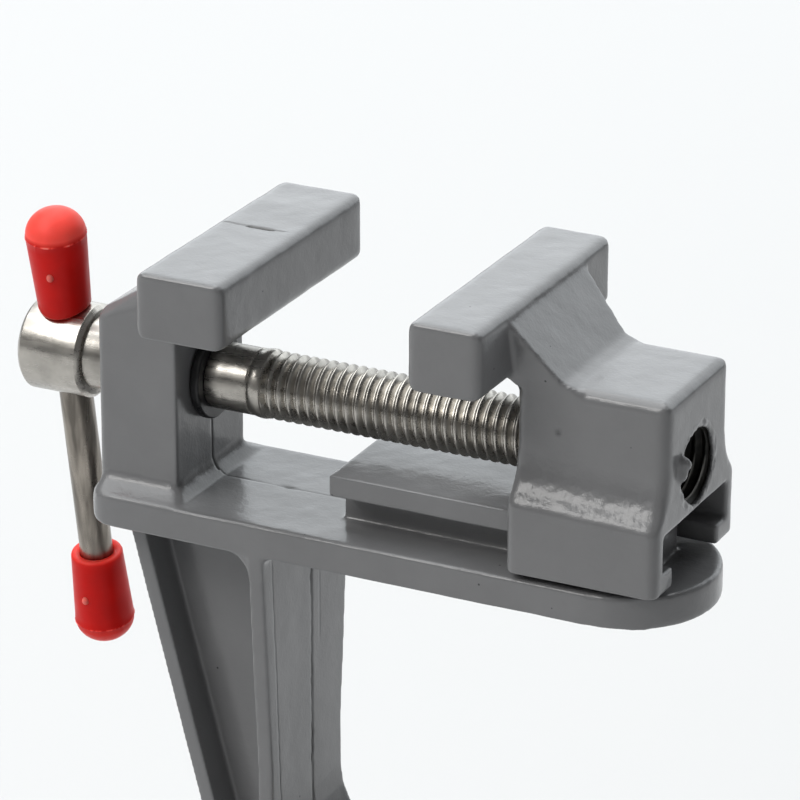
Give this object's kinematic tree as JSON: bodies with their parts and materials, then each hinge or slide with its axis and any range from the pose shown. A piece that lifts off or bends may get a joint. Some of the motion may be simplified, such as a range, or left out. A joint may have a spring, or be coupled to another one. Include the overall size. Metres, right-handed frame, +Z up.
{
  "type": "clamp-on table vise",
  "caption": "Small die-cast bench vise that clamps to a table edge, with a screw-driven jaw on a T rail and sliding handle bars with red caps.",
  "frame": {"origin": "where the clamp screw's axis meets the underside of the beam, the face that rests on the table", "axes": "+X from the fixed jaw to the moving jaw along the lead screw, +Z up, Y across the jaws"},
  "size_m": [0.0869, 0.0604, 0.1377],
  "materials": {
    "grey_enamel": "glossy mid-grey enamel on a die casting",
    "plated_steel": "bright nickel plate, slightly warm, lightly worn",
    "black_ring": "smooth black, semi-gloss",
    "red_plastic": "soft glossy red moulded plastic"
  },
  "bodies": {
    "frame": {"body_casting": "grey_enamel"},
    "lead_screw": {"main_screw": "plated_steel", "retaining_ring": "black_ring"},
    "moving_jaw": {"moving_jaw": "grey_enamel"},
    "handle": {"handle_bar": "plated_steel", "handle_cap_top": "red_plastic", "handle_cap_bottom": "red_plastic"},
    "clamp_pad": {"clamp_pad": "plated_steel"},
    "clamp_screw": {"clamp_screw": "plated_steel"},
    "clamp_handle": {"clamp_bar": "plated_steel", "clamp_cap_left": "red_plastic", "clamp_cap_right": "red_plastic"}
  },
  "joints": [
    {"name": "lead_screw_turn", "type": "hinge", "parent": "frame", "child": "lead_screw", "pos_m": [-0.0373, 0, 0.0169], "axis": [1, 0, 0], "range_deg": [-2103, 6509]},
    {"name": "jaw_slide", "type": "slide", "parent": "frame", "child": "moving_jaw", "axis": [1, 0, 0], "range_m": [-0.0226, 0.0073]},
    {"name": "handle_slide", "type": "slide", "parent": "lead_screw", "child": "handle", "axis": [0, -0.1702, 0.9854], "range_m": [0, 0.0231]},
    {"name": "clamp_lift", "type": "slide", "parent": "frame", "child": "clamp_pad", "axis": [0, 0, 1], "range_m": [0, 0.0379]},
    {"name": "clamp_turn", "type": "hinge", "parent": "clamp_pad", "child": "clamp_screw", "pos_m": [0, 0, -0.049], "axis": [0, 0, 1], "range_deg": [0, 10916]},
    {"name": "clamp_bar_slide", "type": "slide", "parent": "clamp_screw", "child": "clamp_handle", "axis": [0, 1, 0], "range_m": [-0.0115, 0.0115]}
  ],
  "couplings": [
    {"joint": "lead_screw_turn", "follows": "jaw_slide", "rad_per_m": -5026.5},
    {"joint": "clamp_turn", "follows": "clamp_lift", "rad_per_m": 5026.5}
  ]
}
